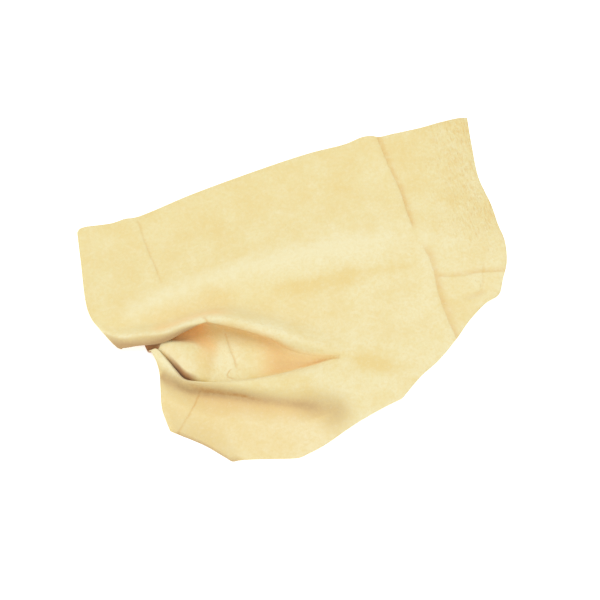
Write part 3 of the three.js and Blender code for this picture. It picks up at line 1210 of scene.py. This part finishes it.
@dataclass(frozen=True)
class Suede:
    """Oil-dressed suede: pale yellow and mottled; painted highlights make it paler on crests and
    painted shade makes it tan in hollows and creases.

    Its layers go over the nap's own colour in order. What they are mixed from is named in flows.
    """

    layers: tuple[Layer, ...] = (
        # Warm mottling and fibre streaks, and the warm painted shade streaks
        Layer(Hue.WARM, Weights(0.35, {"clouds": 1.8, "mottle": 1.5, "streaks": 3.0, "warm": 1.0})),
        # Pale mottling, the pale painted highlights, a paler near right side and painted highlight on humps,
        # kept off the painted shade
        Layer(Hue.PALE, Weights(0.1, {
            "mottle": 1.4, "clouds": -1.3, "pale": 0.75, "worn": 1.0, "wear": 0.45, "hollow": -0.2,
            "shade": -1.0, "dull": -1.0, "warm": -1.0,
        })),
        # Tan painted shade in hollows, and the tuck's tan tones
        Layer(Hue.DEEP, Weights(0.0, {"hollow": 0.05, "tan": 0.75})),
        # Dull painted shade
        Layer(Hue.DULL, Weights(0.0, {"shade": 0.55, "dull": 0.55})),
        # The creases' lines of painted shade
        Layer(Hue.LINE, Weights(0.0, {"crease_shade": 1.0}), Way.STAIN),
        # The nap's fine fuzz, warm and pale
        Layer(Hue.WARM, Weights(0.1, {"fuzz": 2.4})),
        Layer(Hue.PALE, Weights(-0.05, {"fuzz": -2.0})),
        # Fibre strand lines
        Layer(Hue.LINE, Weights(0.0, {"strand_lines": 1.6}), Way.STAIN),
        # Dark painted shadow deep in the fold
        Layer(Hue.DARK, Weights(0.0, {"inside": 0.95})),
    )
    clouds: Grain = Grain(0.035, 3.0, 0.6)
    mottle: Grain = Grain(0.008, 3.0, 0.6)
    hairs: Grain = Grain(0.0034, 3.0, 0.8)
    strands: Grain = Grain(0.002, 2.0, 0.7)
    strand_turn: float = 0.22
    strand_stretch: float = 4.0
    strand_start: float = 0.02
    fuzziness: Weights = Weights(1.0, {"fibre": 0.5, "pale": -0.7, "shade": -0.5, "dull": -0.5})
    line_wander: Weights = Weights(0.0, {"mottle": 2.4, "hairs": 1.6})
    line_breaks: Weights = Weights(0.7, {"clouds": 1.2, "mottle": 1.2})
    lumps: Weights = Weights(0.0, {"hairs": 0.8, "mottle": 0.4, "streaks": 2.2})
    roughness: Weights = Weights(0.875, {"hairs": -0.15})
    bump: float = 0.6
    specular: float = 0.2
    sheen: float = 0.25
    sheen_roughness: float = 0.6
    sheen_tint: Colour = (1.0, 0.93, 0.78, 1.0)

    def flows(self, paint: Paintbox) -> dict[str, Flow]:
        """What the finish is mixed from: numbers that the mesh holds, the nap's noises and their products.

        The strands' noise is turned and drawn out along the strands. The streaks and strand lines are that
        noise where the mesh has fibres, and the fuzz is the hairs' noise, stronger on fibres and weaker
        under the pale painted highlight and the painted shade.

        Args:
            paint: The material's paintbox.

        Returns:
            The flows by name.
        """
        flows = {held.value: paint.attribute(held.value) for held in (*Ground, *Tint, *STREAKS)}
        place = paint.node("ShaderNodeTexCoord", {}, {}).outputs["Object"]
        turned = {
            "Vector": place,
            "Rotation": (0.0, 0.0, self.strand_turn),
            "Scale": (1.0, self.strand_stretch, 1.0),
        }
        along = paint.node("ShaderNodeMapping", {"vector_type": "TEXTURE"}, turned).outputs[0]
        strands = paint.noise(along, self.strands)
        flows["clouds"] = paint.noise(place, self.clouds)
        flows["mottle"] = paint.noise(place, self.mottle)
        flows["hairs"] = paint.noise(place, self.hairs)
        flows["streaks"] = strands * flows["fibre"]
        flows["strand_lines"] = (strands + self.strand_start) * flows["fibre"] * flows["fibre"]
        flows["fuzz"] = flows["hairs"] * self.fuzziness.total(flows)
        return flows

    def marks(self, paint: Paintbox, creases: dict[str, Crease], wander: Flow) -> tuple[Flow, Flow]:
        """The creases' fine lines of painted shade, each a bell of the distance that the mesh holds for it.

        Args:
            paint: The material's paintbox.
            creases: The creases by the name of their distance.
            wander: How far the lines stray, in millimetres.

        Returns:
            How much painted shade the lines put on the nap, and how deep they are in millimetres.
        """
        crease_shade: Any = 0.0
        depth: Any = 0.0
        for name, crease in creases.items():
            if crease.mark in STREAKS:
                continue
            distance = paint.attribute(name) + wander
            right = distance.above(0.0) * (1.0 / crease.width)
            left = distance.below(0.0) * (1.0 / crease.soft)
            mark = (right + left).bell() * paint.attribute(f"{name}_near")
            crease_shade = crease_shade + mark * crease.tint
            depth = depth + mark * crease.depth
        return crease_shade, depth

    def material(self, creases: dict[str, Crease]) -> bpy.types.Material:
        """Makes the material, with the creases' lines on it.

        Args:
            creases: The creases by the name of their distance.

        Returns:
            The material.
        """
        material = bpy.data.materials.new(SLOT)
        material.use_nodes = True
        paint = Paintbox(material.node_tree)
        flows = self.flows(paint)
        crease_shade, depth = self.marks(paint, creases, self.line_wander.total(flows))
        flows["crease_shade"] = crease_shade * self.line_breaks.total(flows).clipped()
        colour: Any = Hue.NAP.value
        for layer in self.layers:
            colour = paint.over(colour, layer, flows)
        height = self.lumps.total(flows) - depth
        bump = paint.node("ShaderNodeBump", {}, {"Strength": self.bump, "Distance": MM, "Height": height})
        paint.wire(material.node_tree.nodes["Principled BSDF"], {
            "Base Color": colour,
            "Normal": bump.outputs[0],
            "Roughness": self.roughness.total(flows),
            "Specular IOR Level": self.specular,
            "Sheen Weight": self.sheen,
            "Sheen Roughness": self.sheen_roughness,
            "Sheen Tint": self.sheen_tint,
        })
        return material


@dataclass(frozen=True)
class PaleFloor:
    """A dull pale table top that glows a little."""

    colour: Colour = (0.93, 0.93, 0.93, 1.0)
    roughness: float = 0.9
    glow: float = 0.45

    def material(self) -> bpy.types.Material:
        """Makes the material.

        Returns:
            The material.
        """
        material = bpy.data.materials.new("pale_floor")
        material.use_nodes = True
        Paintbox(material.node_tree).wire(material.node_tree.nodes["Principled BSDF"], {
            "Base Color": self.colour,
            "Roughness": self.roughness,
            "Emission Color": WHITE,
            "Emission Strength": self.glow,
        })
        return material


# Studio

@dataclass(frozen=True)
class Lamp:
    """A wide soft lamp: where it shines from, in metres, its strength and its angular width in degrees."""

    name: str
    place: tuple[float, float, float]
    strength: float
    width: float

    def hang(self) -> None:
        """Adds the lamp, turned towards the skin."""
        light = bpy.data.lights.new(self.name, "SUN")
        light.angle = np.radians(self.width)
        light.energy = self.strength
        lamp = bpy.data.objects.new(self.name, light)
        lamp.location = self.place
        lamp.rotation_euler = (-Vector(self.place)).to_track_quat("-Z", "Y").to_euler()
        bpy.context.scene.collection.objects.link(lamp)


@dataclass
class Studio:
    """A pale floor, soft light and the camera at the photo's angle."""

    floor_half: float = 6.0
    floor_drop: float = 0.0002
    surround: float = 0.63
    back_lamp: Lamp = Lamp("back_lamp", (-0.3, 0.5, 1.2), 1.1, 50.0)
    front_lamp: Lamp = Lamp("front_lamp", (0.2, -1.0, 1.0), 0.8, 60.0)
    elevation: float = 60.0
    distance: float = 1666.7
    lens: float = 100.0
    sensor: float = 36.0

    def floor(self) -> bpy.types.Object:
        """Makes a wide square floor, a little under the skin.

        Returns:
            The floor's object.
        """
        half = self.floor_half
        mesh = bpy.data.meshes.new("floor")
        corners = [(-half, -half, 0), (half, -half, 0), (half, half, 0), (-half, half, 0)]
        mesh.from_pydata(corners, [], [(0, 1, 2, 3)])
        mesh.materials.append(PaleFloor().material())
        floor = bpy.data.objects.new("floor", mesh)
        floor.location = (0.0, 0.0, -self.floor_drop)
        bpy.context.scene.collection.objects.link(floor)
        return floor

    def lights(self) -> None:
        """An even pale surround, a soft lamp above and behind the skin and a weaker one in front."""
        world = bpy.data.worlds.new("surround")
        world.use_nodes = True
        background = world.node_tree.nodes["Background"]
        Paintbox(world.node_tree).wire(background, {"Color": WHITE, "Strength": self.surround})
        bpy.context.scene.world = world
        self.back_lamp.hang()
        self.front_lamp.hang()

    def camera(self) -> None:
        """The camera: it looks along +Y and down at the elevation, at the layout's origin on the floor."""
        data = bpy.data.cameras.new("camera")
        data.lens = self.lens
        data.sensor_width = self.sensor
        camera = bpy.data.objects.new("camera", data)
        angle = np.radians(self.elevation)
        back = np.array([0.0, -np.cos(angle), np.sin(angle)]) * self.distance
        camera.location = (back + np.array([*LAYOUT_ORIGIN, 0.0])) * MM
        camera.rotation_euler = (np.pi / 2.0 - angle, 0.0, 0.0)
        bpy.context.scene.collection.objects.link(camera)
        bpy.context.scene.camera = camera


def main() -> None:
    logging.basicConfig(level=logging.INFO, format="%(name)s: %(message)s")
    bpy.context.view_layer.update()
    studio = Studio()
    floor = studio.floor()
    studio.lights()
    studio.camera()
    bpy.context.scene.view_settings.view_transform = "Standard"
    chamois = ChamoisSkin()
    skin = chamois.build()
    skin.data.materials.append(Suede().material(chamois.creases()))
    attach(skin, "root")
    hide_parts(SKIN_NODE)


if __name__ == "__main__":
    main()
